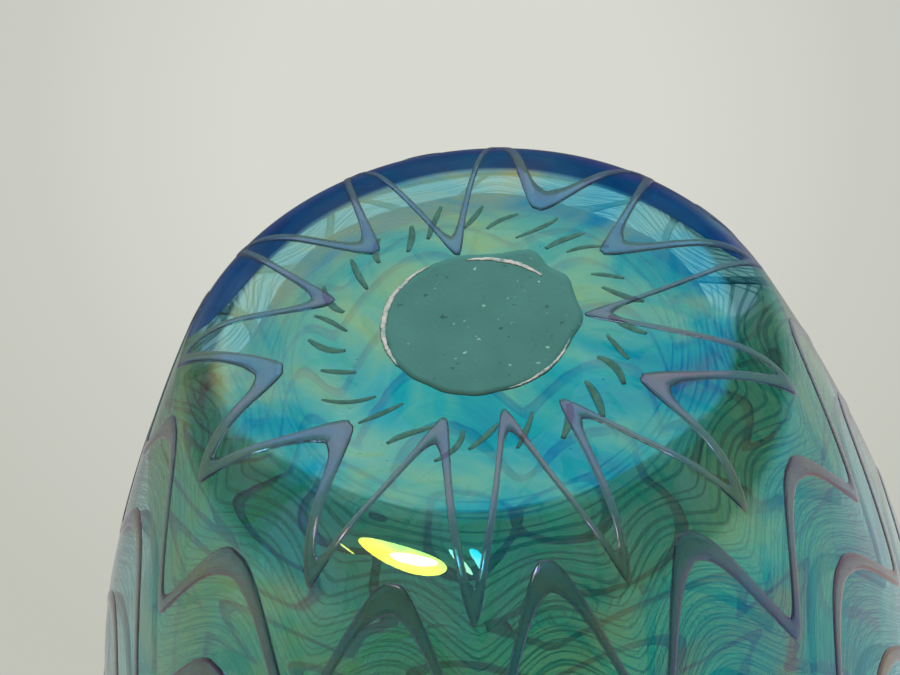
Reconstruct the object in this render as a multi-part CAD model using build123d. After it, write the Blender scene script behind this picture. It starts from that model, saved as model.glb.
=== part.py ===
from build123d import *
import os
from math import atan2, cos, degrees, hypot, radians, sin, sqrt

# Hand blown art glass vase, millimetres, +Z up, origin on the resting plane under the centre of the base.
# It is built as it was blown: an inner bubble, a second gather cased over it, fine threads caught between
# the two, thick combed trails on the outside, and a ground seal in the middle of the base.

# --- driving dimensions -------------------------------------------------------------------------------
WINDOW_RADIUS = 27.3          # the flat part of the underside
BEVEL_RADIUS = 25.0           # soft arc from the flat part into the heel
BEVEL_ANGLE = 6.0
FOOT_WIDTH = 2.2              # the low resting rim at the edge of the flat part
FOOT_HEIGHT = 0.5
HEEL_RADIUS = 10.64           # tighter arc from there into the wall
HEEL_ANGLE = 61.3             # slope of the wall above the heel, degrees from level
WALL_RADIUS = 394.0           # long, nearly straight flare of the lower wall
WALL_PIECE = 3                # its place along the outline: flat, bevel, heel, wall
WALL_ANGLE = 67.7
BELLY_RADIUS = 120.0
BELLY_ANGLE = 95.0
SHOULDER_RADIUS = 36.0
SHOULDER_ANGLE = 160.0
NECK_RADIUS = 12.0            # hollow curve under the lip
LIP_ANGLE = 40.0              # slope of the flared lip at its end
WALL_THICKNESS = 4.2
BUBBLE_THICKNESS = 1.8
THREAD_LAYER = 0.3            # the layer between bubble and casing that holds the fine threads
FLOOR_HEIGHT = 9.5            # top of the solid base, measured from the resting plane
FLOOR_FLAT_RADIUS = 20.0

SEAL_RADIUS = 11.5            # ground pontil seal
SEAL_DEPTH = 1.0
SEAL_DISH = 0.2

COMB_COUNT = 12               # points drawn down by the comb around the vase
FIRST_PEAK = -6.6             # degrees from -Y towards +X
COMB_CROWDING = 7.3           # degrees by which the combing crowds together at the front, -Y
COMB_LEAN = 2.0
COMB_WANDER = 0.8
TIP_ROUNDING = 0.12
SAMPLES_PER_COMB = 18

TRAIL_ROWS = 8
FIRST_TRAIL = 28.0            # middle of the first trail, along the outside from the centre of the base
TRAIL_PITCH = 20.5
TRAIL_WIDTH = 3.4
TRAIL_CROWN = 0.4             # how far the middle of a trail stands out of the surface
TRAIL_EDGE = 0.2              # and its two edges
TRAIL_SWING = [9.6, 10.0, 10.2, 10.2, 10.0, 9.6, 9.0, 7.4]
ARCH_PULL = [                 # how far up the wall each arch top of the first rows sits from an even row
    [-4.4, -1.7, 3.1, 7.0, 0.7, 0.5, -5.0, 3.4, 2.3, -5.4, 4.2, -2.2],
    [-3.9, -2.0, 3.5, 2.5, -1.0, 1.5, -2.5, 1.0, -1.5, 2.0, 3.7, -1.7],
]

THREAD_BANDS = 7
THREADS_PER_BAND = 5
FIRST_THREAD = 24.0           # along the inner surface from the centre of the cavity's floor
THREAD_PITCH = 4.1
THREAD_WIDTH = 0.6
THREAD_SWING = 9.0
THREAD_SWING_START = 26.0     # the fine threads are still level here
THREAD_SWING_FULL = 62.0      # and fully combed from here on

HAIRLINE = 0.07               # clearance of a trail from the curved surface that it lies on


class ProfilePath:
    """A tangent-continuous outline in the (radius, height) plane, followed by its arc length."""

    def __init__(self, start, flat_length, arcs):
        self.pieces = []
        self.length = 0.0
        self.add_line(start, flat_length)
        heading = 0.0
        for radius, end_angle in arcs:
            heading = self.add_arc(radius, heading, radians(end_angle))

    def add_line(self, start, length):
        self.pieces.append(("line", 0.0, length, start, 0.0, 0.0))
        self.length = length
        self.end = (start[0] + length, start[1])

    def add_arc(self, radius, heading, end_heading):
        centre = (self.end[0] - radius * sin(heading), self.end[1] + radius * cos(heading))
        length = radius * (end_heading - heading)
        self.pieces.append(("arc", self.length, length, centre, radius, heading))
        self.length += length
        self.end = (centre[0] + radius * sin(end_heading), centre[1] - radius * cos(end_heading))
        return end_heading

    def at(self, distance, offset=0.0):
        """Point at an arc length, moved outwards from the glass by an offset."""
        piece = self.pieces[0]
        for candidate in self.pieces:
            if distance >= candidate[1]:
                piece = candidate
        kind, start, _, anchor, radius, heading = piece
        if kind == "line":
            return (anchor[0] + distance - start, anchor[1] - offset)
        turned = heading + (distance - start) / radius
        reach = radius + offset
        return (anchor[0] + reach * sin(turned), anchor[1] - reach * cos(turned))

    def edges(self, offset=0.0):
        """The outline's lines and arcs, moved outwards by an offset."""
        result = []
        for kind, start, length, _, _, _ in self.pieces:
            first = self.at(start, offset)
            middle = self.at(start + length / 2, offset)
            last = self.at(start + length - 1e-9, offset)
            if kind == "line":
                result.append(Edge.make_line(flat(first), flat(last)))
            else:
                result.append(Edge.make_three_point_arc(flat(first), flat(middle), flat(last)))
        return result


def flat(point):
    return Vector(point[0], 0, point[1])


def line(first, last):
    return Edge.make_line(flat(first), flat(last))


def turned(outline):
    """Solid of revolution about Z of a closed outline of edges."""
    face = Face(Wire(outline))
    solid = Solid.revolve(face, 360, Axis.Z)
    return solid


def outer_path():
    arcs = [
        (BEVEL_RADIUS, BEVEL_ANGLE),
        (HEEL_RADIUS, HEEL_ANGLE),
        (WALL_RADIUS, WALL_ANGLE),
        (BELLY_RADIUS, BELLY_ANGLE),
        (SHOULDER_RADIUS, SHOULDER_ANGLE),
        (-NECK_RADIUS, LIP_ANGLE),
    ]
    return ProfilePath((0.0, FOOT_HEIGHT), WINDOW_RADIUS, arcs)


def inner_path(outer):
    """The cavity's outline: a flat floor, an arc tangent to it, then the wall at an even thickness."""
    wall_centre = outer.pieces[WALL_PIECE][3]
    wall_reach = WALL_RADIUS - WALL_THICKNESS
    across = FLOOR_FLAT_RADIUS - wall_centre[0]
    below = wall_centre[1] - FLOOR_HEIGHT
    floor_radius = (across**2 + below**2 - wall_reach**2) / (2 * (below - wall_reach))
    floor_angle = atan2(across, below - floor_radius)
    arcs = [
        (floor_radius, degrees(floor_angle)),
        (wall_reach, WALL_ANGLE),
        (BELLY_RADIUS - WALL_THICKNESS, BELLY_ANGLE),
        (SHOULDER_RADIUS - WALL_THICKNESS, SHOULDER_ANGLE),
        (-(NECK_RADIUS + WALL_THICKNESS), LIP_ANGLE),
    ]
    return ProfilePath((0.0, FLOOR_HEIGHT), FLOOR_FLAT_RADIUS, arcs)


OUTER = outer_path()
INNER = inner_path(OUTER)


def comb_phase(azimuth, level):
    """Turns of the combing, in degrees: a whole turn from one arch top to the next."""
    crowding = COMB_CROWDING * sin(radians(azimuth))
    lean = COMB_LEAN * sin(radians(2 * azimuth + 72))
    wander = COMB_WANDER * sin(radians(3 * azimuth + 75 - 25 * level))
    return COMB_COUNT * (azimuth + crowding + lean + wander - FIRST_PEAK)


def comb_swing(azimuth, level):
    """-1 at an arch's top, nearest the base, and 1 at the sharp point between two arches."""
    phase = radians(comb_phase(azimuth, level))
    depth = sqrt(cos(phase / 2) ** 2 + TIP_ROUNDING**2)
    deepest = sqrt(1 + TIP_ROUNDING**2)
    return 1 - 2 * (depth - TIP_ROUNDING) / (deepest - TIP_ROUNDING)


def trail_line(row, azimuth):
    """Distance along the outside of the middle of one thick trail."""
    swing = TRAIL_SWING[row] * (1 + 0.07 * sin(radians(5 * azimuth + 110 * row)))
    comb = comb_swing(azimuth, row)
    middle = FIRST_TRAIL + row * TRAIL_PITCH + swing * comb
    if row < len(ARCH_PULL):
        arch = round(comb_phase(azimuth, row) / 360) % COMB_COUNT
        middle += ARCH_PULL[row][arch] * (1 - comb) / 2
    return middle


def thread_line(number, azimuth):
    """Distance along the cavity's outline of the middle of one fine thread."""
    rest = FIRST_THREAD + number * THREAD_PITCH
    share = (rest - THREAD_SWING_START) / (THREAD_SWING_FULL - THREAD_SWING_START)
    share = min(max(share, 0.0), 1.0)
    return rest + share * THREAD_SWING * comb_swing(azimuth, (rest - FIRST_TRAIL) / TRAIL_PITCH)


def on_surface(path, distance, offset, azimuth):
    radius, height = path.at(distance, offset)
    return Vector(radius * sin(radians(azimuth)), -radius * cos(radians(azimuth)), height)


def closed_trail(path, middle, section):
    """A closed ring of glass that follows a wavy line around the vase. Each corner of its section is a
    distance across the line and an offset from the path's surface."""
    count = COMB_COUNT * SAMPLES_PER_COMB
    azimuths = [360 * step / count for step in range(count)]

    def rail(across, offset):
        points = [on_surface(path, middle(a) + across, offset, a) for a in azimuths]
        return Edge.make_spline(points, periodic=True)

    rails = [rail(across, offset) for across, offset in section]
    faces = [Face.make_surface_from_curves(rails[i - 1], rails[i]) for i in range(len(rails))]
    return Solid(Shell(faces))


def lip_cap(outer_end, inner_end):
    """Half round edge over the end of the wall."""
    middle = ((outer_end[0] + inner_end[0]) / 2, (outer_end[1] + inner_end[1]) / 2)
    span = hypot(outer_end[0] - inner_end[0], outer_end[1] - inner_end[1])
    along = (cos(radians(LIP_ANGLE)), sin(radians(LIP_ANGLE)))
    crown = (middle[0] + along[0] * span / 2, middle[1] + along[1] * span / 2)
    return Edge.make_three_point_arc(flat(outer_end), flat(crown), flat(inner_end))


def inner_bubble():
    """First gather, the inside of the vase, open at the lip."""
    inside = INNER.edges()
    outside = INNER.edges(BUBBLE_THICKNESS)
    end = line(INNER.at(INNER.length, BUBBLE_THICKNESS), INNER.at(INNER.length))
    axis = line(INNER.at(0), INNER.at(0, BUBBLE_THICKNESS))
    return turned(inside + [end] + outside + [axis])


def foot_rim():
    """Low resting rim, parted wherever a point of the first trail crosses it."""
    middle_radius = WINDOW_RADIUS - FOOT_WIDTH / 2
    reach = TRAIL_WIDTH / 2 + FOOT_WIDTH / 2 + 0.5
    step = 0.1
    clear = [abs(trail_line(0, step * i) - middle_radius) > reach for i in range(3600)]
    starts = [i for i in range(3600) if clear[i] and not clear[i - 1]]
    pads = []
    for start in starts:
        end = start
        while clear[(end + 1) % 3600]:
            end += 1
        span = (end - start) * step
        outline = Wire.make_polygon(
            [
                flat((WINDOW_RADIUS - FOOT_WIDTH, 0)),
                flat((WINDOW_RADIUS, 0)),
                flat((WINDOW_RADIUS, FOOT_HEIGHT)),
                flat((WINDOW_RADIUS - FOOT_WIDTH, FOOT_HEIGHT)),
            ]
        )
        pad = Solid.revolve(Face(outline), span, Axis.Z)
        pads.append(pad.rotate(Axis.Z, start * step - 90))
    return pads


def outer_casing():
    """Second gather: the thick base, the outside of the wall and the fire polished lip."""
    gap = BUBBLE_THICKNESS + THREAD_LAYER
    outside = OUTER.edges()
    inside = INNER.edges(gap)
    outer_end = OUTER.at(OUTER.length)
    inner_end = INNER.at(INNER.length)
    cap = lip_cap(outer_end, inner_end)
    end = line(inner_end, INNER.at(INNER.length, gap))
    axis = line(INNER.at(0, gap), OUTER.at(0))
    shell = turned(outside + [cap, end] + inside + [axis])
    pocket = Pos(0, 0, FOOT_HEIGHT) * Cylinder(
        SEAL_RADIUS, SEAL_DEPTH, align=(Align.CENTER, Align.CENTER, Align.MIN)
    )
    shell = shell - pocket
    return shell.fuse(*foot_rim())


def pontil_seal():
    """Ground glass seal where the pontil rod was broken off, slightly dished."""
    top = FOOT_HEIGHT + SEAL_DEPTH
    dish = Edge.make_three_point_arc(
        flat((0, FOOT_HEIGHT + SEAL_DISH)),
        flat((SEAL_RADIUS / 2, FOOT_HEIGHT + 0.75 * SEAL_DISH)),
        flat((SEAL_RADIUS, FOOT_HEIGHT)),
    )
    side = line((SEAL_RADIUS, FOOT_HEIGHT), (SEAL_RADIUS, top))
    roof = line((SEAL_RADIUS, top), (0, top))
    axis = line((0, top), (0, FOOT_HEIGHT + SEAL_DISH))
    return turned([dish, side, roof, axis])


def thick_trail(row):
    """One combed trail, crowned along its middle, lying on the outside of the casing."""
    half = TRAIL_WIDTH / 2
    quarter = TRAIL_WIDTH / 4
    shoulder = TRAIL_EDGE + 0.75 * (TRAIL_CROWN - TRAIL_EDGE)
    section = [
        (-half, HAIRLINE),
        (-half, TRAIL_EDGE),
        (-quarter, shoulder),
        (0, TRAIL_CROWN),
        (quarter, shoulder),
        (half, TRAIL_EDGE),
        (half, HAIRLINE),
        (quarter, HAIRLINE),
        (0, HAIRLINE),
        (-quarter, HAIRLINE),
    ]
    return closed_trail(OUTER, lambda azimuth: trail_line(row, azimuth), section)


def fine_threads(band):
    """One band of fine threads, each a separate closed thread between the bubble and the casing."""
    half = THREAD_WIDTH / 2
    low = BUBBLE_THICKNESS + HAIRLINE
    high = BUBBLE_THICKNESS + THREAD_LAYER - HAIRLINE
    section = [(-half, low), (-half, high), (half, high), (half, low)]
    threads = []
    for number in range(band * THREADS_PER_BAND, (band + 1) * THREADS_PER_BAND):
        line_of_thread = lambda azimuth, number=number: thread_line(number, azimuth)
        threads.append(closed_trail(INNER, line_of_thread, section))
    return Compound(children=threads)


def build():
    nodes = {
        "inner_bubble": inner_bubble(),
        "outer_casing": outer_casing(),
        "pontil_seal": pontil_seal(),
    }
    for row in range(TRAIL_ROWS):
        nodes[f"zigzag_trail_{row + 1}"] = thick_trail(row)
    for band in range(THREAD_BANDS):
        nodes[f"fine_threads_{band + 1}"] = fine_threads(band)
    return nodes


os.makedirs("parts", exist_ok=True)
for name, shape in build().items():
    export_step(shape, f"parts/{name}.step")
print("outer length", round(OUTER.length, 1), "inner length", round(INNER.length, 1))
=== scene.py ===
"""Hand blown art glass vase, seen from under its base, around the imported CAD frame.

Metres in Blender; the design dimensions below are millimetres, as the glass was laid out in CAD.
"""

import math

import bpy
import numpy as np
from mathutils import Matrix, Vector


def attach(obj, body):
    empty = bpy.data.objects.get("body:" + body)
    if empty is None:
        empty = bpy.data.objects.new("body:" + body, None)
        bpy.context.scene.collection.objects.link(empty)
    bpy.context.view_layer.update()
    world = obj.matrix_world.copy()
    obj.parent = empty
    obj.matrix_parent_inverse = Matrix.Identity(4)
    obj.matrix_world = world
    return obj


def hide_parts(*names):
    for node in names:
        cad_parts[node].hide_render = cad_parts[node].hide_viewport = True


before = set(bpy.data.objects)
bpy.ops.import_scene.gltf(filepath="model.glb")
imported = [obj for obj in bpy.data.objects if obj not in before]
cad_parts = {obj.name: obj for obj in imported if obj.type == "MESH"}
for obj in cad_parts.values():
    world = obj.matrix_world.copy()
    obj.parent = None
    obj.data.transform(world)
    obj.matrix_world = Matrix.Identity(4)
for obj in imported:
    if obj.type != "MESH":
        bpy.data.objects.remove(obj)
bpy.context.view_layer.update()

MM = 0.001
GLASS_IOR = 1.48

# --- the vase's outline, as in the CAD model: each arc is a radius and the slope at its end in degrees --
WINDOW_RADIUS = 27.3
FOOT_HEIGHT = 0.5
BEVEL_ARC = (25.0, 6.0)
HEEL_ARC = (10.64, 61.3)
WALL_ARC = (394.0, 67.7)
BELLY_ARC = (120.0, 95.0)
SHOULDER_ARC = (36.0, 160.0)
NECK_ARC = (-12.0, 40.0)
# the wall's place among the outline's pieces
WALL_PIECE = 3
WALL_THICKNESS = 4.2
BUBBLE_THICKNESS = 1.8
FLOOR_HEIGHT = 9.5
FLOOR_FLAT_RADIUS = 20.0
LIP_ROWS = 11

# --- the details of the base: azimuths in degrees from -Y towards +X, heights from the base plane -------
SEAL_RADIUS = 11.5
SEAL_PROUD = 0.07
SEAL_DISH = 0.05
# each lobe is an azimuth, a width in degrees and how far it reaches out
SEAL_LOBES = [(214, 13, 1.9), (243, 12, 1.5), (273, 16, 0.9)]
# rings of the seal above its ground face, as shares of its radius and heights
SEAL_EDGE = [(1.004, 0.05), (0.9, 0.5), (0.3, 0.55)]
# each arc is two azimuths, a shift from the seal's radius and a half width
CHIPPED_ARCS = [(58, 152, 0.0, 0.42), (176, 232, -0.9, 0.40), (292, 346, -0.15, 0.22)]
CHIPPED_HEIGHTS = (-0.13, -0.05)
# the veil is painted glow: a lit cobalt sheet standing in for light piped along inside the thick heel
VEIL_AZIMUTHS = (98.0, 258.0)
# arc lengths along the outside, and depths under it
VEIL_BOTTOM = 27.4
VEIL_TOP = 43.0
VEIL_OUTSIDE = -0.12
VEIL_INSIDE = -0.24
VEIL_TAPERS_TO = 0.62
ENGRAVED_STROKES = 26
ENGRAVED_RADIUS = 18.0
ENGRAVED_HALF_WIDTH = 0.46
ENGRAVED_HEIGHTS = (-0.03, 0.03)
SEED_COUNT = 46
SEED_REACH = 26.0
SEED_SIDES = 10
SEED_RINGS = (-0.95, -0.6, 0.0, 0.6, 0.95)

# --- the combed decoration: arc lengths along the outside for trails, along the inside for threads ------
COMB_COUNT = 12
FIRST_PEAK = -6.6
COMB_CROWDING = 7.3
COMB_LEAN = 2.0
COMB_WANDER = 0.8
TIP_ROUNDING = 0.12
FIRST_TRAIL = 28.0
TRAIL_PITCH = 20.5
TRAIL_WIDTH = 3.4
TRAIL_PROUD = 0.15
TRAIL_SUNK = 0.5
STEEPEST_SWELL = 1.12
TOP_ROUNDING = 4.0
TRAIL_SWING = [9.6, 10.0, 10.2, 10.2, 10.0, 9.6, 9.0, 7.4]
# how far each arch of the first two trails is pulled up the wall
ARCH_PULL = [
    [-4.4, -1.7, 3.1, 7.0, 0.7, 0.5, -5.0, 3.4, 2.3, -5.4, 4.2, -2.2],
    [-3.9, -2.0, 3.5, 2.5, -1.0, 1.5, -2.5, 1.0, -1.5, 2.0, 3.7, -1.7],
]
THREAD_BANDS = 7
THREADS_PER_BAND = 21
FIRST_THREAD = 23.0
THREAD_PITCH = 0.96
THREAD_WIDTH = 0.27
THREAD_HALF_DEPTH = 0.05
THREAD_DEPTH = 0.15
THREAD_SWING = 9.0
THREAD_SWING_START = 26.0
THREAD_SWING_FULL = 62.0

# --- the light, the table and the camera around it, in metres and degrees -------------------------------
WINDOW_LIGHT_TILT = 44.0
WINDOW_LIGHT = 0.87
ROOM_LIGHT = 0.12
SKY_LIGHT = 0.55
TABLE_HALF = 3.0
TABLE_FADE = (0.35, 1.3)
HEEL_SPOT = Vector((0.010, -0.032, 0.0))
TO_LAMP = Vector((0.315, -0.229, -0.919))
LAMP_DISTANCE = 0.6
# each glint is a shift to the side of the lamp, a width and a height
GLINTS = [(-0.17, 0.015, 0.08), (0.122, 0.018, 0.30), (0.160, 0.022, 0.32)]
GLINT_POWER = 9.0
CAMERA_PLACE = Vector((0.0, -102.8, -108.7)) * MM
CAMERA_AIM = Vector((3.5, -2.7, 0.0)) * MM
CAMERA_LEAN = 3.05
BACKDROP_MIDDLE = (0.009, 0.794, 0.628)


class ProfilePath:
    """A tangent-continuous outline in the (radius, height) plane, followed by its arc length."""

    def __init__(self, start_height, flat_length, arcs):
        self.pieces = [(0.0, (0.0, start_height), 0.0, 0.0)]
        self.length = flat_length
        end = (flat_length, start_height)
        heading = 0.0
        for radius, end_degrees in arcs:
            end_heading = math.radians(end_degrees)
            centre = (end[0] - radius * math.sin(heading), end[1] + radius * math.cos(heading))
            self.pieces.append((self.length, centre, radius, heading))
            self.length += radius * (end_heading - heading)
            end = (centre[0] + radius * math.sin(end_heading), centre[1] - radius * math.cos(end_heading))
            heading = end_heading

    def at(self, distance, offset=0.0):
        """Radius and height at arc lengths, moved outwards from the surface by an offset."""
        distance = np.asarray(distance, float)
        offset = np.broadcast_to(np.asarray(offset, float), distance.shape)
        radius = np.zeros_like(distance)
        height = np.zeros_like(distance)
        for start, anchor, bend, heading in self.pieces:
            chosen = distance >= start
            if bend == 0.0:
                radius = np.where(chosen, anchor[0] + distance - start, radius)
                height = np.where(chosen, anchor[1] - offset, height)
            else:
                turned = heading + (distance - start) / bend
                reach = bend + offset
                radius = np.where(chosen, anchor[0] + reach * np.sin(turned), radius)
                height = np.where(chosen, anchor[1] - reach * np.cos(turned), height)
        return radius, height


def outer_path():
    """The outside, from the middle of the base to the lip."""
    arcs = [BEVEL_ARC, HEEL_ARC, WALL_ARC, BELLY_ARC, SHOULDER_ARC, NECK_ARC]
    return ProfilePath(FOOT_HEIGHT, WINDOW_RADIUS, arcs)


def inner_path(outer):
    """The cavity's outline: a flat floor, an arc tangent to it, then the wall at an even thickness."""
    wall_centre = outer.pieces[WALL_PIECE][1]
    wall_reach = WALL_ARC[0] - WALL_THICKNESS
    across = FLOOR_FLAT_RADIUS - wall_centre[0]
    below = wall_centre[1] - FLOOR_HEIGHT
    floor_radius = (across**2 + below**2 - wall_reach**2) / (2 * (below - wall_reach))
    floor_angle = math.degrees(math.atan2(across, below - floor_radius))
    arcs = [
        (floor_radius, floor_angle),
        (wall_reach, WALL_ARC[1]),
        (BELLY_ARC[0] - WALL_THICKNESS, BELLY_ARC[1]),
        (SHOULDER_ARC[0] - WALL_THICKNESS, SHOULDER_ARC[1]),
        (NECK_ARC[0] - WALL_THICKNESS, NECK_ARC[1]),
    ]
    return ProfilePath(FLOOR_HEIGHT, FLOOR_FLAT_RADIUS, arcs)


OUTER = outer_path()
INNER = inner_path(OUTER)


def comb_phase(azimuth, level):
    """Turns of the combing, in degrees: a whole turn from one arch top to the next."""
    crowding = COMB_CROWDING * np.sin(np.radians(azimuth))
    lean = COMB_LEAN * np.sin(np.radians(2 * azimuth + 72))
    wander = COMB_WANDER * np.sin(np.radians(3 * azimuth + 75 - 25 * level))
    return COMB_COUNT * (azimuth + crowding + lean + wander - FIRST_PEAK)


def comb_swing(azimuth, level):
    """-1 at an arch's top, nearest the base, and 1 at the sharp point between two arches."""
    phase = np.radians(comb_phase(azimuth, level))
    depth = np.sqrt(np.cos(phase / 2) ** 2 + TIP_ROUNDING**2)
    deepest = math.sqrt(1 + TIP_ROUNDING**2)
    return 1 - 2 * (depth - TIP_ROUNDING) / (deepest - TIP_ROUNDING)


def trail_line(row, azimuth):
    """Arc length along the outside of the middle of one trail."""
    swing = TRAIL_SWING[row] * (1 + 0.07 * np.sin(np.radians(5 * azimuth + 110 * row)))
    comb = comb_swing(azimuth, row)
    middle = FIRST_TRAIL + row * TRAIL_PITCH + swing * comb
    if row < len(ARCH_PULL):
        arch = np.round(comb_phase(azimuth, row) / 360).astype(int) % COMB_COUNT
        middle = middle + np.array(ARCH_PULL[row])[arch] * (1 - comb) / 2
    return middle


def thread_line(rest, azimuth):
    """Arc length along the inside of one thread: level near the base, combed further up."""
    share = (rest - THREAD_SWING_START) / (THREAD_SWING_FULL - THREAD_SWING_START)
    share = min(max(share, 0.0), 1.0)
    return rest + share * THREAD_SWING * comb_swing(azimuth, (rest - FIRST_TRAIL) / TRAIL_PITCH)


# --- mesh helpers ---------------------------------------------------------------------------------------
def place(radius, height, azimuth):
    """Points on the vase in metres from radius and height in millimetres and azimuth in degrees."""
    turn = np.radians(azimuth)
    return np.stack([radius * np.sin(turn), -radius * np.cos(turn), height], axis=-1) * MM


def all_round(columns):
    """Even azimuths around the vase in degrees."""
    return np.arange(columns) * 360.0 / columns


def new_object(name, points, faces, material):
    """A smooth-shaded object in the scene from points in metres and faces."""
    mesh = bpy.data.meshes.new(name)
    mesh.from_pydata([tuple(p) for p in points], [], faces)
    mesh.polygons.foreach_set("use_smooth", [True] * len(mesh.polygons))
    mesh.materials.append(material)
    mesh.update()
    piece = bpy.data.objects.new(name, mesh)
    bpy.context.scene.collection.objects.link(piece)
    return piece


def grid_faces(rows, columns, first=0, close_rows=True, flip=False):
    """Quads over a grid whose columns close on themselves, and whose rows do too if asked."""
    faces = []
    last = rows if close_rows else rows - 1
    for i in range(last):
        j = (i + 1) % rows
        for k in range(columns):
            m = (k + 1) % columns
            here = first + i * columns
            above = first + j * columns
            quad = (here + k, above + k, above + m, here + m)
            faces.append(quad[::-1] if flip else quad)
    return faces


def cap_faces(columns, last, middle):
    """Triangles from a grid's first row, and from the row at last, to two points at the index middle."""
    faces = []
    for k in range(columns):
        m = (k + 1) % columns
        faces.append((middle, m, k))
        faces.append((middle + 1, last + k, last + m))
    return faces


# --- materials ------------------------------------------------------------------------------------------
def node_material(name, settings):
    """A material with one Principled shader, and the values that are the same all over it."""
    material = bpy.data.materials.new(name)
    material.use_nodes = True
    tree = material.node_tree
    tree.nodes.clear()
    shader = tree.nodes.new("ShaderNodeBsdfPrincipled")
    for socket, value in settings.items():
        shader.inputs[socket].default_value = value
    output = tree.nodes.new("ShaderNodeOutputMaterial")
    tree.links.new(shader.outputs[0], output.inputs["Surface"])
    return material, tree, shader


def object_position(tree):
    return tree.nodes.new("ShaderNodeTexCoord").outputs["Object"]


def position_parts(tree, position):
    """The X, Y and Z of a position."""
    node = tree.nodes.new("ShaderNodeSeparateXYZ")
    tree.links.new(position, node.inputs["Vector"])
    return node.outputs["X"], node.outputs["Y"], node.outputs["Z"]


def noise_texture(tree, vector, scale, detail=3.0, roughness=0.5, distortion=0.0):
    node = tree.nodes.new("ShaderNodeTexNoise")
    node.inputs["Scale"].default_value = scale
    node.inputs["Detail"].default_value = detail
    node.inputs["Roughness"].default_value = roughness
    node.inputs["Distortion"].default_value = distortion
    tree.links.new(vector, node.inputs["Vector"])
    return node.outputs["Fac"]


def colour_ramp(tree, factor, stops):
    """Colours along a factor, from pairs of a position and a colour."""
    node = tree.nodes.new("ShaderNodeValToRGB")
    ramp = node.color_ramp
    while len(ramp.elements) < len(stops):
        ramp.elements.new(0.5)
    for element, (position, colour) in zip(ramp.elements, stops):
        element.position = position
        element.color = (*colour, 1.0)
    tree.links.new(factor, node.inputs["Fac"])
    return node.outputs["Color"]


def mapped(tree, value, low, high, to_low=0.0, to_high=1.0):
    """A value carried from one range to another and held at its ends."""
    node = tree.nodes.new("ShaderNodeMapRange")
    node.inputs["From Min"].default_value = low
    node.inputs["From Max"].default_value = high
    node.inputs["To Min"].default_value = to_low
    node.inputs["To Max"].default_value = to_high
    tree.links.new(value, node.inputs["Value"])
    return node.outputs["Result"]


def maths(tree, operation, first, second):
    """One step of arithmetic on an output and an output or a number."""
    node = tree.nodes.new("ShaderNodeMath")
    node.operation = operation
    tree.links.new(first, node.inputs[0])
    if isinstance(second, float):
        node.inputs[1].default_value = second
    else:
        tree.links.new(second, node.inputs[1])
    return node.outputs[0]


def mixed(tree, factor, first, second):
    node = tree.nodes.new("ShaderNodeMix")
    node.data_type = "RGBA"
    tree.links.new(factor, node.inputs["Factor"])
    tree.links.new(first, node.inputs["A"])
    tree.links.new(second, node.inputs["B"])
    return node.outputs["Result"]


def bump(tree, shader, height, strength, distance):
    node = tree.nodes.new("ShaderNodeBump")
    node.inputs["Strength"].default_value = strength
    node.inputs["Distance"].default_value = distance
    tree.links.new(height, node.inputs["Height"])
    tree.links.new(node.outputs["Normal"], shader.inputs["Normal"])


def film_thickness(tree, position):
    """The iridescent film in nanometres: thin is blue, thick is green and then yellow."""
    x, y, height = position_parts(tree, position)
    base = WINDOW_RADIUS * MM
    swirl = noise_texture(tree, position, 42.0, detail=4.0, roughness=0.5, distortion=1.6)
    film = mapped(tree, swirl, 0.32, 0.68, 156.0, 198.0)
    on_heel = mapped(tree, height, 0.0006, 0.0014)
    heel_across = mapped(tree, y, -0.005, 0.022, 26.0, -36.0)
    to_back = mapped(tree, y, -base, base, -20.0, 12.0)
    to_side = mapped(tree, x, -base, base, -9.0, 9.0)
    up_lower_wall = mapped(tree, height, 0.006, 0.016, 0.0, -22.0)
    for shift in (maths(tree, "MULTIPLY", on_heel, heel_across), to_back, to_side, up_lower_wall):
        film = maths(tree, "ADD", film, shift)
    return film


def glass_material():
    """Iridescent cased glass: aqua outside, green inside, with a blue body colour in its depth; the green is
    deepest low on the wall, where it is partly painted shade.
    """
    settings = {"Transmission Weight": 1.0, "Roughness": 0.0, "IOR": GLASS_IOR, "Thin Film IOR": 2.2}
    material, tree, shader = node_material("cased_glass", settings)
    position = object_position(tree)
    height = position_parts(tree, position)[2]
    patches = noise_texture(tree, position, 30.0, detail=3.0, roughness=0.5, distortion=0.8)
    aqua = colour_ramp(tree, patches, [(0.3, (0.74, 0.93, 0.98)), (0.7, (0.80, 0.97, 0.93))])
    wall = colour_ramp(tree, patches, [(0.3, (0.70, 0.92, 0.78)), (0.7, (0.76, 0.95, 0.72))])
    outside = mixed(tree, mapped(tree, height, 0.002, 0.012), aqua, wall)
    up_wall = mapped(tree, height, 0.0, 0.15)
    # the inner casing's own green, made deepest on the lower wall as painted shade for the dark interior seen
    # through the near wall
    green = colour_ramp(tree, up_wall, [
        (0.05, (0.11, 0.56, 0.40)),
        (0.15, (0.050, 0.46, 0.12)),
        (0.6, (0.07, 0.50, 0.18)),
        (1.0, (0.16, 0.62, 0.46)),
    ])
    skin = tree.nodes.new("ShaderNodeAttribute")
    skin.attribute_name = "inner_skin"
    tree.links.new(mixed(tree, skin.outputs["Fac"], outside, green), shader.inputs["Base Color"])
    tree.links.new(film_thickness(tree, position), shader.inputs["Thin Film Thickness"])
    ripple = noise_texture(tree, position, 55.0, detail=2.0, distortion=1.2)
    bump(tree, shader, ripple, 0.10, 0.0004)
    absorption = tree.nodes.new("ShaderNodeVolumeAbsorption")
    absorption.inputs["Color"].default_value = (0.09, 0.60, 0.84, 1.0)
    absorption.inputs["Density"].default_value = 55.0
    tree.links.new(absorption.outputs[0], tree.nodes["Material Output"].inputs["Volume"])
    return material


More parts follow.
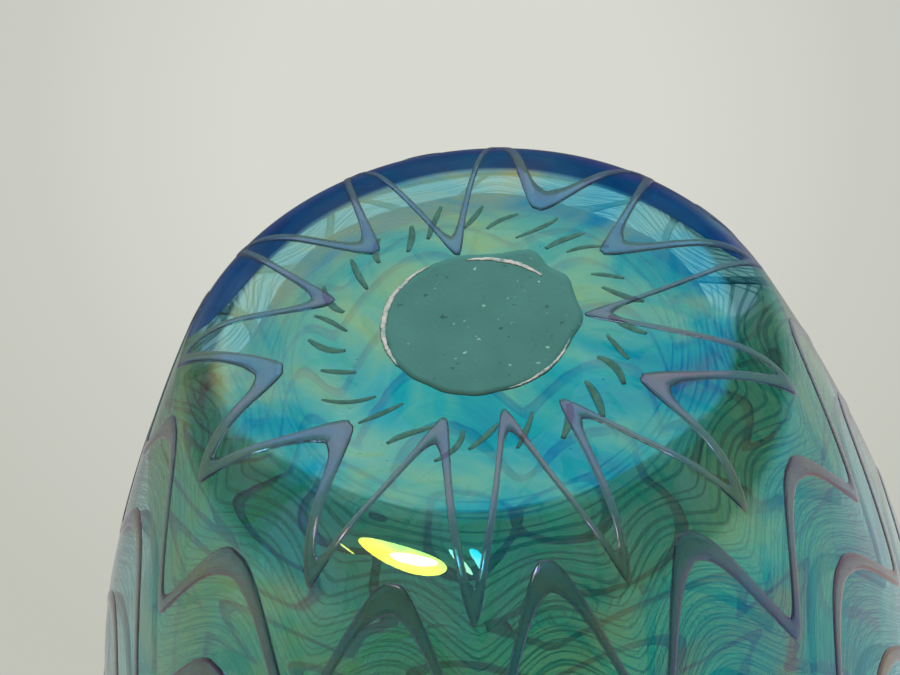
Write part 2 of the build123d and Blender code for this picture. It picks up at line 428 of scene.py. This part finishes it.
def trail_material():
    """Smoky violet-grey glass, mostly see-through, with painted shade at the front of the vase, where the
    near wall faces away from the light.
    """
    settings = {"Transmission Weight": 0.88, "Roughness": 0.05, "IOR": GLASS_IOR, "Thin Film IOR": 2.0}
    material, tree, shader = node_material("smoky_trail_glass", settings)
    position = object_position(tree)
    patches = noise_texture(tree, position, 60.0, detail=3.0)
    colour = colour_ramp(tree, patches, [
        (0.3, (0.34, 0.50, 0.56)),
        (0.55, (0.40, 0.54, 0.60)),
        (0.75, (0.47, 0.57, 0.64)),
    ])
    # painted shade: a darker colour for the trails on the near wall at the front, which face away from the
    # light
    painted_front_shade = colour_ramp(tree, patches, [(0.3, (0.16, 0.34, 0.36)), (0.7, (0.25, 0.40, 0.44))])
    y = position_parts(tree, position)[1]
    front_shade_mask = mapped(tree, y, -0.025, -0.035)
    tree.links.new(mixed(tree, front_shade_mask, colour, painted_front_shade), shader.inputs["Base Color"])
    film = mapped(tree, patches, 0.3, 0.7, 130.0, 158.0)
    to_back = mapped(tree, y, -0.010, 0.020, 0.0, 16.0)
    tree.links.new(maths(tree, "ADD", film, to_back), shader.inputs["Thin Film Thickness"])
    return material


def thread_material():
    """Dark green glass hairlines, fused into the wall so that they have no gloss of their own."""
    settings = {"Transmission Weight": 0.9, "Roughness": 0.0, "IOR": 1.0}
    material, tree, shader = node_material("dark_thread_glass", settings)
    position = object_position(tree)
    patches = noise_texture(tree, position, 45.0, detail=2.0)
    colour = colour_ramp(tree, patches, [(0.3, (0.42, 0.58, 0.60)), (0.7, (0.60, 0.74, 0.76))])
    tree.links.new(colour, shader.inputs["Base Color"])
    return material


def ground_material():
    """Ground satin glass with pits and pale grit."""
    settings = {"Roughness": 0.5, "Specular IOR Level": 0.25}
    material, tree, shader = node_material("ground_satin_glass", settings)
    position = object_position(tree)
    fine = noise_texture(tree, position, 1500.0, detail=2.0, roughness=0.6)
    grit = noise_texture(tree, position, 1100.0, detail=1.0)
    broad = noise_texture(tree, position, 170.0, detail=3.0, distortion=0.4)
    base = colour_ramp(tree, broad, [(0.3, (0.044, 0.156, 0.142)), (0.7, (0.056, 0.182, 0.166))])
    pale = colour_ramp(tree, broad, [(0.3, (0.20, 0.38, 0.34)), (0.7, (0.28, 0.44, 0.40))])
    dark = colour_ramp(tree, broad, [(0.3, (0.02, 0.07, 0.07)), (0.7, (0.03, 0.10, 0.09))])
    pitted = mixed(tree, mapped(tree, grit, 0.72, 0.80), base, pale)
    colour = mixed(tree, mapped(tree, grit, 0.29, 0.22), pitted, dark)
    tree.links.new(colour, shader.inputs["Base Color"])
    bump(tree, shader, fine, 0.35, 0.0001)
    return material


def chipped_material():
    """Pale, faintly pink broken edge."""
    material, tree, shader = node_material("chipped_glass", {"Roughness": 0.35})
    position = object_position(tree)
    broken = noise_texture(tree, position, 900.0, detail=3.0, roughness=0.7)
    colour = colour_ramp(tree, broken, [
        (0.35, (0.14, 0.24, 0.24)),
        (0.5, (0.40, 0.42, 0.39)),
        (0.65, (0.56, 0.50, 0.47)),
    ])
    tree.links.new(colour, shader.inputs["Base Color"])
    bump(tree, shader, broken, 0.6, 0.0002)
    return material


def scribed_material():
    """Rough dark green bottoms of the engraved strokes."""
    material, tree, shader = node_material("scribed_glass", {"Roughness": 0.6})
    position = object_position(tree)
    rough = noise_texture(tree, position, 1200.0, detail=3.0, roughness=0.7)
    colour = colour_ramp(tree, rough, [(0.35, (0.02, 0.09, 0.075)), (0.65, (0.05, 0.16, 0.13))])
    tree.links.new(colour, shader.inputs["Base Color"])
    bump(tree, shader, rough, 0.5, 0.0001)
    return material


def glow_veil_material():
    """Painted cobalt glow with fine level streaks, half see-through: the glass's own blue, lit as a sheet to
    stand in for light piped along inside the thick heel.
    """
    settings = {"Transmission Weight": 0.4, "Roughness": 0.0, "IOR": 1.0}
    material, tree, shader = node_material("painted_cobalt_glow", settings)
    position = object_position(tree)
    stretch = tree.nodes.new("ShaderNodeMapping")
    stretch.inputs["Scale"].default_value = (1.0, 1.0, 14.0)
    tree.links.new(position, stretch.inputs["Vector"])
    streaks = noise_texture(tree, stretch.outputs["Vector"], 55.0, detail=5.0, roughness=0.6, distortion=0.6)
    # the glass's own cobalt blue, on a sheet that paints the glow of light piped along the heel
    colour = colour_ramp(tree, streaks, [
        (0.30, (0.002, 0.10, 0.60)),
        (0.50, (0.006, 0.20, 0.85)),
        (0.62, (0.012, 0.28, 0.92)),
        (0.75, (0.05, 0.42, 0.95)),
    ])
    tree.links.new(colour, shader.inputs["Base Color"])
    return material


def seed_material():
    """Dark specks of the seeds caught in the base."""
    material, tree, shader = node_material("dark_seed", {"Roughness": 0.3})
    position = object_position(tree)
    shade = noise_texture(tree, position, 80.0)
    colour = colour_ramp(tree, shade, [(0.4, (0.01, 0.05, 0.06)), (0.6, (0.06, 0.14, 0.15))])
    tree.links.new(colour, shader.inputs["Base Color"])
    return material


# --- pieces ---------------------------------------------------------------------------------------------
def vase_glass(material):
    """The fused wall and base, one closed skin: underside, outside, lip, inside and the cavity's floor."""
    columns = COMB_COUNT * 22
    azimuth = all_round(columns)
    outside = np.concatenate([
        np.linspace(0.6, WINDOW_RADIUS - 0.6, 34),
        np.linspace(WINDOW_RADIUS - 0.3, WINDOW_RADIUS + 12, 26),
        np.linspace(WINDOW_RADIUS + 13.2, OUTER.length, 130),
    ])
    inside = np.concatenate([np.linspace(0.6, 48, 60), np.linspace(49.2, INNER.length, 124)])
    rows = []
    for s in outside:
        radius, height = OUTER.at(s + 0 * azimuth)
        rows.append(place(radius, height, azimuth))
    start, end = OUTER.at(OUTER.length), INNER.at(INNER.length)
    middle = ((start[0] + end[0]) / 2, (start[1] + end[1]) / 2)
    half = math.hypot(start[0] - end[0], start[1] - end[1]) / 2
    lip = math.radians(NECK_ARC[1])
    for turn in np.radians(np.linspace(15, 165, LIP_ROWS)):
        across = half * math.cos(turn)
        along = half * math.sin(turn)
        radius = middle[0] + across * math.sin(lip) + along * math.cos(lip)
        height = middle[1] - across * math.cos(lip) + along * math.sin(lip)
        rows.append(place(radius + 0 * azimuth, height + 0 * azimuth, azimuth))
    for s in inside[::-1]:
        radius, height = INNER.at(s + 0 * azimuth)
        rows.append(place(radius, height, azimuth))
    points = np.concatenate(rows)
    bottom = len(points)
    points = np.concatenate([points, place(np.zeros(2), np.array([FOOT_HEIGHT, FLOOR_HEIGHT]), np.zeros(2))])
    faces = grid_faces(len(rows), columns, close_rows=False, flip=True)
    faces += cap_faces(columns, (len(rows) - 1) * columns, bottom)
    glass = new_object("vase_glass", points, faces, material)
    inner = np.zeros(len(points), np.float32)
    inner[(len(outside) + LIP_ROWS // 2 + 1) * columns:bottom] = 1.0
    inner[bottom + 1] = 1.0
    skin = glass.data.attributes.new("inner_skin", "FLOAT", "POINT")
    skin.data.foreach_set("value", inner)
    return glass


def closed_trail(name, path, lines, sections, material):
    """Closed threads of glass that follow wavy lines around the vase, joined in one object."""
    points = []
    faces = []
    first = 0
    for line, section in zip(lines, sections):
        azimuth, distance = line
        around = len(section)
        for across, offset in section:
            radius, height = path.at(distance + across, offset)
            points.append(place(radius, height, azimuth))
        faces += grid_faces(around, len(azimuth), first)
        first += around * len(azimuth)
    return new_object(name, np.concatenate(points), faces, material)


def oval_section(width, above, below, count, width_scale=1.0):
    """A flat oval as distances across and offsets from the surface; the scale may vary around the vase."""
    turns = np.arange(count) * 2 * math.pi / count
    section = []
    for turn in turns:
        rise = math.sin(turn)
        offset = above * rise if rise > 0 else below * rise
        section.append((width / 2 * math.cos(turn) * width_scale, offset))
    return section


def rounded_tops(line, azimuth, level):
    """Soften a trail's turns at its arch tops, and leave the points between the arches sharp."""
    reach = round(TOP_ROUNDING / azimuth[1])
    softened = sum(np.roll(line, shift) for shift in range(-reach, reach + 1)) / (2 * reach + 1)
    return line + (softened - line) * (1 - comb_swing(azimuth, level)) / 2


def zigzag_trail(row, material):
    """One thick trail, half sunk in the wall, a little uneven in width."""
    azimuth = all_round(COMB_COUNT * 44)
    swell = 1 + 0.10 * np.sin(np.radians(9 * azimuth + 50 * row)) + 0.07 * np.sin(np.radians(23 * azimuth))
    line = rounded_tops(trail_line(row, azimuth), azimuth, row)
    step = np.radians(azimuth[1]) * OUTER.at(line)[0]
    slope = (np.roll(line, -1) - np.roll(line, 1)) / (2 * step)
    swell = swell * np.minimum(np.sqrt(1 + slope**2), STEEPEST_SWELL)
    section = oval_section(TRAIL_WIDTH, TRAIL_PROUD, TRAIL_SUNK, 12, swell)
    return closed_trail(f"combed_trail_{row + 1}", OUTER, [(azimuth, line)], [section], material)


def fine_threads(band, material):
    """One band of hairline threads between the two gathers."""
    azimuth = all_round(COMB_COUNT * 24)
    lines = []
    sections = []
    for number in range(band * THREADS_PER_BAND, (band + 1) * THREADS_PER_BAND):
        rest = FIRST_THREAD + number * THREAD_PITCH + 0.2 * math.sin(2.4 * number)
        lines.append((azimuth, thread_line(rest, azimuth)))
        width = THREAD_WIDTH * (1 + 0.35 * math.sin(1.7 * number))
        flat = oval_section(width, THREAD_HALF_DEPTH, THREAD_HALF_DEPTH, 4)
        sections.append([(across, offset + BUBBLE_THICKNESS + THREAD_DEPTH) for across, offset in flat])
    return closed_trail(f"combed_threads_{band + 1}", INNER, lines, sections, material)


def closed_disc(name, rings, azimuth, material):
    """A closed, roughly round body from rings of points, each given as radii and heights around it."""
    columns = len(azimuth)
    rows = [place(radius, height, azimuth) for radius, height in rings]
    lowest = rings[0][1].mean()
    highest = rings[-1][1].mean()
    middle = place(np.zeros(2), np.array([lowest, highest]), np.zeros(2))
    points = np.concatenate(rows + [middle])
    faces = grid_faces(len(rows), columns, close_rows=False, flip=True)
    faces += cap_faces(columns, (len(rows) - 1) * columns, len(rows) * columns)
    return new_object(name, points, faces, material)


def bulge(azimuth, middle, width, height):
    """A smooth bump in a round outline, in millimetres, around one azimuth."""
    away = (azimuth - middle + 180) % 360 - 180
    return height * np.exp(-((away / width) ** 2))


def seal_outline(azimuth):
    """The seal's radius around it: not quite round, with lobes at the back."""
    broad = 0.10 * np.sin(np.radians(7 * azimuth))
    narrow = 0.06 * np.sin(np.radians(17 * azimuth + 40))
    outline = SEAL_RADIUS + broad + narrow
    for middle, width, height in SEAL_LOBES:
        outline = outline + bulge(azimuth, middle, width, height)
    return outline


def ground_seal(material):
    """The ground pontil seal, standing a hair proud of the base, with lobes where it spread."""
    azimuth = all_round(240)
    outline = seal_outline(azimuth)
    rings = []
    for share in np.linspace(0.08, 1.0, 14):
        dish = SEAL_DISH * (1 - share**2)
        rings.append((outline * share, FOOT_HEIGHT - SEAL_PROUD + dish + 0 * azimuth))
    for share, rise in SEAL_EDGE:
        rings.append((outline * share, FOOT_HEIGHT + rise + 0 * azimuth))
    return closed_disc("ground_seal", rings, azimuth, material)


def ribbon(points_2d, half_widths, heights):
    """A closed flat strip of glass along a line on the base, as wide as its half widths say."""
    low, high = [FOOT_HEIGHT + height for height in heights]
    line = np.asarray(points_2d, float)
    along = np.gradient(line, axis=0)
    along = along / np.linalg.norm(along, axis=1)[:, None]
    side = np.stack([-along[:, 1], along[:, 0]], axis=1) * np.asarray(half_widths)[:, None]
    points = []
    for share, height in ((-1.0, high), (-0.6, low), (0.6, low), (1.0, high)):
        edge = line + share * side
        points.append(np.column_stack([edge, np.full(len(line), height)]))
    points = np.concatenate(points) * MM
    count = len(line)
    faces = []
    for rail in range(4):
        other = (rail + 1) % 4
        for k in range(count - 1):
            faces.append((rail * count + k, other * count + k, other * count + k + 1, rail * count + k + 1))
    faces.append((0, 3 * count, 2 * count, count))
    faces.append((count - 1, 2 * count - 1, 3 * count - 1, 4 * count - 1))
    return points, faces


def joined(name, parts, material):
    """One object from several bodies, each given as points and faces."""
    points = []
    faces = []
    first = 0
    for part_points, part_faces in parts:
        points.append(part_points)
        faces += [tuple(first + corner for corner in face) for face in part_faces]
        first += len(part_points)
    return new_object(name, np.concatenate(points), faces, material)


def on_base(radius, azimuth):
    """Points of the base plane in millimetres."""
    turn = np.radians(azimuth)
    return np.stack([radius * np.sin(turn), -radius * np.cos(turn)], axis=-1)


def painted_glow_veil(material):
    """A thin sheet just under the skin of the heel, on the far side, tapering at both ends: painted cobalt
    glow, the glass's own blue lit to stand in for light piped along inside the thick heel.
    """
    columns = 240
    share = np.linspace(0, 1, columns)
    start, end = VEIL_AZIMUTHS
    azimuth = start + (end - start) * share
    swell = np.sin(np.pi * share) ** 0.3
    top = VEIL_TOP + 1.2 * np.sin(np.radians(3 * azimuth)) + 0.7 * np.sin(np.radians(8 * azimuth + 30))
    middle = VEIL_BOTTOM + VEIL_TAPERS_TO * (top - VEIL_BOTTOM)
    low = middle + (VEIL_BOTTOM - middle) * swell
    high = middle + (top - middle) * swell
    rows = []
    for offset, order in ((VEIL_OUTSIDE, np.linspace(0, 1, 12)), (VEIL_INSIDE, np.linspace(1, 0, 12))):
        for step in order:
            radius, height = OUTER.at(low + (high - low) * step, offset)
            rows.append(place(radius, height, azimuth))
    faces = []
    for i in range(len(rows)):
        j = (i + 1) % len(rows)
        for k in range(columns - 1):
            faces.append((i * columns + k, j * columns + k, j * columns + k + 1, i * columns + k + 1))
    return new_object("painted_glow_veil", np.concatenate(rows), faces, material)


def chipped_edge(material):
    """Pale broken glass around the seal: one long arc, one short thick one and a thin one."""
    rng = np.random.default_rng(11)
    parts = []
    for start, end, inset, width in CHIPPED_ARCS:
        azimuth = np.linspace(start, end, 60)
        rough = rng.normal(0, 0.05, len(azimuth))
        radius = SEAL_RADIUS + inset + rough
        share = (azimuth - start) / (end - start)
        half = width * np.sin(np.pi * share) ** 0.45 * (0.75 + 0.25 * rng.random(len(azimuth))) + 0.02
        parts.append(ribbon(on_base(radius, azimuth), half, CHIPPED_HEIGHTS))
    return joined("chipped_edge", parts, material)


def engraved_border(material):
    """A plain border of short slanting strokes, scribed by hand around the seal. It spells nothing."""
    rng = np.random.default_rng(5)
    parts = []
    for number in range(ENGRAVED_STROKES):
        middle = number * 360 / ENGRAVED_STROKES + rng.uniform(-2.5, 2.5)
        slant = rng.uniform(7, 12)
        curve = rng.uniform(-2.5, 2.5)
        share = np.linspace(-1, 1, 14)
        azimuth = middle + slant * share / 2 + curve * (1 - share**2)
        radius = ENGRAVED_RADIUS + rng.uniform(-0.9, 0.9) + rng.uniform(1.6, 2.7) * share
        half = ENGRAVED_HALF_WIDTH * (1 - 0.5 * share**2) * rng.uniform(0.8, 1.25)
        parts.append(ribbon(on_base(radius, azimuth), half, ENGRAVED_HEIGHTS))
    return joined("engraved_border", parts, material)


def seed_bubbles(material):
    """Tiny seeds caught in the thick base, as small rounded bodies."""
    rng = np.random.default_rng(3)
    parts = []
    turns = np.radians(all_round(SEED_SIDES))
    last = (len(SEED_RINGS) - 1) * SEED_SIDES
    for _ in range(SEED_COUNT):
        distance = SEED_REACH * math.sqrt(rng.random())
        centre = on_base(distance, rng.uniform(0, 360))
        height = rng.uniform(2.0, 6.5)
        size = rng.uniform(0.06, 0.15)
        points = []
        for rise in SEED_RINGS:
            across = size * math.sqrt(1 - rise**2)
            ring = np.stack([
                centre[0] + across * np.sin(turns),
                centre[1] - across * np.cos(turns),
                height + size * rise + 0 * turns,
            ], axis=-1)
            points.append(ring)
        poles = np.array([[centre[0], centre[1], height - size], [centre[0], centre[1], height + size]])
        faces = grid_faces(len(SEED_RINGS), SEED_SIDES, close_rows=False, flip=True)
        faces += cap_faces(SEED_SIDES, last, last + SEED_SIDES)
        parts.append((np.concatenate(points + [poles]) * MM, faces))
    return joined("seed_bubbles", parts, material)


# --- stage ----------------------------------------------------------------------------------------------
def make_floor():
    """A pale table that fades into the backdrop. It is one-sided: seen from underneath it isn't there."""
    material = bpy.data.materials.new("pale_table")
    material.use_nodes = True
    tree = material.node_tree
    tree.nodes.clear()
    output = tree.nodes.new("ShaderNodeOutputMaterial")
    diffuse = tree.nodes.new("ShaderNodeBsdfDiffuse")
    diffuse.inputs["Color"].default_value = (0.70, 0.70, 0.66, 1.0)
    clear = tree.nodes.new("ShaderNodeBsdfTransparent")
    geometry = tree.nodes.new("ShaderNodeNewGeometry")
    path = tree.nodes.new("ShaderNodeLightPath")
    passed = maths(tree, "GREATER_THAN", path.outputs["Transparent Depth"], 0.5)
    either = maths(tree, "MAXIMUM", geometry.outputs["Backfacing"], passed)
    distance = tree.nodes.new("ShaderNodeVectorMath")
    distance.operation = "LENGTH"
    tree.links.new(object_position(tree), distance.inputs[0])
    fade = mapped(tree, distance.outputs["Value"], *TABLE_FADE)
    mix = tree.nodes.new("ShaderNodeMixShader")
    tree.links.new(maths(tree, "MAXIMUM", either, fade), mix.inputs[0])
    tree.links.new(diffuse.outputs[0], mix.inputs[1])
    tree.links.new(clear.outputs[0], mix.inputs[2])
    tree.links.new(mix.outputs[0], output.inputs["Surface"])
    corners = [(-1, -1), (1, -1), (1, 1), (-1, 1)]
    points = [(x * TABLE_HALF, y * TABLE_HALF, 0.0) for x, y in corners]
    floor = new_object("table", points, [(0, 1, 2, 3)], material)


def area_light(name, location, target, size, power, colour, hidden=(), shape="RECTANGLE"):
    """A soft lamp; the ways of seeing it named in hidden are turned off."""
    data = bpy.data.lights.new(name, "AREA")
    data.shape = shape
    data.size = size[0]
    data.size_y = size[1]
    data.energy = power
    data.color = colour
    light = bpy.data.objects.new(name, data)
    light.location = location
    aim = (Vector(target) - Vector(location)).normalized()
    side = aim.cross(Vector((0.0, 1.0, 0.0))).normalized()
    light.rotation_euler = Matrix((side, side.cross(aim), -aim)).transposed().to_euler()
    for way in hidden:
        setattr(light, f"visible_{way}", False)
    bpy.context.scene.collection.objects.link(light)


def make_world():
    """A pale backdrop, and around it a dim room with one broad soft window low at the back."""
    world = bpy.data.worlds.new("pale_room")
    bpy.context.scene.world = world
    world.use_nodes = True
    tree = world.node_tree
    tree.nodes.clear()
    output = tree.nodes.new("ShaderNodeOutputWorld")
    direction = tree.nodes.new("ShaderNodeTexCoord").outputs["Generated"]

    def along(axis):
        """The cosine between a ray's direction and an axis."""
        node = tree.nodes.new("ShaderNodeVectorMath")
        node.operation = "DOT_PRODUCT"
        node.inputs[1].default_value = axis
        tree.links.new(direction, node.inputs[0])
        return node.outputs["Value"]

    def ramped(value, stops):
        """A brightness along one direction, from pairs of a cosine and a brightness."""
        grey = [((cosine + 1) / 2, (bright, bright, bright)) for cosine, bright in stops]
        return colour_ramp(tree, mapped(tree, value, -1.0, 1.0), grey)

    tilt = math.radians(WINDOW_LIGHT_TILT)
    up_window = along((0.0, math.cos(tilt), math.sin(tilt)))
    to_window = along((0.0, math.sin(tilt), -math.cos(tilt)))
    sideways = along((1.0, 0.0, 0.0))
    near_edge = [(-0.30, 0.0), (-0.27, 0.2), (-0.19, 0.26), (-0.165, 1.0)]
    far_edge = [(0.13, 1.0), (0.20, 0.0)]
    window = ramped(up_window, near_edge + far_edge)
    window = maths(tree, "MULTIPLY", window, mapped(tree, to_window, 0.0, 0.1, 0.0, 1.0))
    across_window = ramped(sideways, [(-0.44, 0.0), (-0.30, 1.0), (0.45, 1.0), (0.70, 0.0)])
    window = maths(tree, "MULTIPLY", window, across_window)
    height = along((0.0, 0.0, 1.0))
    sides = ramped(sideways, [(-0.95, 0.55), (-0.48, 0.30), (-0.34, 0.0), (0.50, 0.0), (0.90, 0.3)])
    sides = maths(tree, "MULTIPLY", sides, mapped(tree, height, -0.1, 0.3))
    room = maths(tree, "ADD", sides, mapped(tree, height, 0.45, 0.85, ROOM_LIGHT, SKY_LIGHT))
    strength = maths(tree, "ADD", maths(tree, "MULTIPLY", window, WINDOW_LIGHT), room)
    light = tree.nodes.new("ShaderNodeBackground")
    light.inputs["Color"].default_value = (1.0, 0.99, 0.95, 1.0)
    tree.links.new(strength, light.inputs["Strength"])
    backdrop = tree.nodes.new("ShaderNodeBackground")
    pale = colour_ramp(tree, mapped(tree, along(BACKDROP_MIDDLE), 0.90, 1.0), [
        (0.0, (0.535, 0.545, 0.485)),
        (0.6, (0.59, 0.60, 0.54)),
        (1.0, (0.68, 0.69, 0.63)),
    ])
    tree.links.new(pale, backdrop.inputs["Color"])
    rays = tree.nodes.new("ShaderNodeLightPath")
    seen = maths(tree, "ADD", rays.outputs["Is Camera Ray"], rays.outputs["Is Transmission Ray"])
    mix = tree.nodes.new("ShaderNodeMixShader")
    tree.links.new(seen, mix.inputs[0])
    tree.links.new(light.outputs[0], mix.inputs[1])
    tree.links.new(backdrop.outputs[0], mix.inputs[2])
    tree.links.new(mix.outputs[0], output.inputs["Surface"])


def make_lights():
    """Two soft lamps for the satin parts, and the small ones that glint on the near heel."""
    base = Vector((0.0, 0.0, 0.0))
    to_diffuse = ("glossy", "transmission")
    to_gloss = ("diffuse", "transmission")
    high = (0.5, -0.5, 1.1)
    area_light("overhead", high, (0, 0, 0.08), (0.8, 0.8), 12.0, (1.0, 0.98, 0.94), to_diffuse)
    fill = 0.7 * Vector((-0.09, 0.73, -0.67))
    area_light("fill_below", fill, base, (0.6, 0.6), 8.5, (0.95, 1.0, 0.97), to_diffuse)
    lamp = HEEL_SPOT + LAMP_DISTANCE * TO_LAMP
    core = lamp + Vector((-0.02, 0, 0))
    yellow = (1.0, 0.97, 0.22)
    area_light("lamp_below", lamp, HEEL_SPOT, (0.165, 0.35), 0.7, yellow, to_gloss, "ELLIPSE")
    area_light("lamp_core", core, HEEL_SPOT, (0.10, 0.13), 0.25, (1.0, 1.0, 0.9), to_gloss, "ELLIPSE")
    for number, (shift, width, tall) in enumerate(GLINTS):
        beside = lamp - Vector((shift, 0.0, 0.0))
        power = GLINT_POWER * width * tall
        name = f"glint_{number + 1}"
        area_light(name, beside, HEEL_SPOT, (width, tall), power, (0.72, 1.0, 0.90), to_gloss, "ELLIPSE")


def make_camera():
    """A camera just in front of the base and under it, looking up at it."""
    data = bpy.data.cameras.new("camera")
    data.lens = 50.0
    data.sensor_width = 36.0
    camera = bpy.data.objects.new("camera", data)
    bpy.context.scene.collection.objects.link(camera)
    forward = (CAMERA_AIM - CAMERA_PLACE).normalized()
    lean = math.radians(CAMERA_LEAN)
    up = Vector((-math.sin(lean), math.cos(lean), 0.0))
    up = (up - forward * up.dot(forward)).normalized()
    right = forward.cross(up)
    camera.matrix_world = Matrix((
        (right.x, up.x, -forward.x, CAMERA_PLACE.x),
        (right.y, up.y, -forward.y, CAMERA_PLACE.y),
        (right.z, up.z, -forward.z, CAMERA_PLACE.z),
        (0, 0, 0, 1),
    ))
    data.clip_start = 0.005
    bpy.context.scene.camera = camera


def build():
    """Every piece, riding on the one body, with the CAD nodes that it stands for."""
    clear = glass_material()
    smoky = trail_material()
    dark = thread_material()
    satin = ground_material()
    body = vase_glass(clear)
    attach(body, "root")
    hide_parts("outer_casing", "inner_bubble")
    seal = ground_seal(satin)
    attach(seal, "root")
    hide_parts("pontil_seal")
    details = [
        (chipped_edge(chipped_material()), "ground_glass"),
        (engraved_border(scribed_material()), "ground_glass"),
        (seed_bubbles(seed_material()), "aqua_glass"),
        # the veil is painted cobalt glow in place of light piped along the thick heel
        (painted_glow_veil(glow_veil_material()), "aqua_glass"),
    ]
    for detail, slot in details:
        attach(detail, "root")
    for row in range(len(TRAIL_SWING)):
        trail = zigzag_trail(row, smoky)
        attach(trail, "root")
        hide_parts(f"zigzag_trail_{row + 1}")
    for band in range(THREAD_BANDS):
        threads = fine_threads(band, dark)
        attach(threads, "root")
        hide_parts(f"fine_threads_{band + 1}")


def render_settings():
    """Enough bounces for light to find its way through the thick base."""
    scene = bpy.context.scene
    scene.view_settings.view_transform = "Standard"
    scene.cycles.max_bounces = 28
    scene.cycles.transmission_bounces = 28
    scene.cycles.glossy_bounces = 8
    scene.cycles.transparent_max_bounces = 16
    scene.cycles.caustics_reflective = True
    scene.cycles.caustics_refractive = True
    scene.cycles.sample_clamp_indirect = 6.0


build()
make_floor()
make_world()
make_lights()
make_camera()
render_settings()
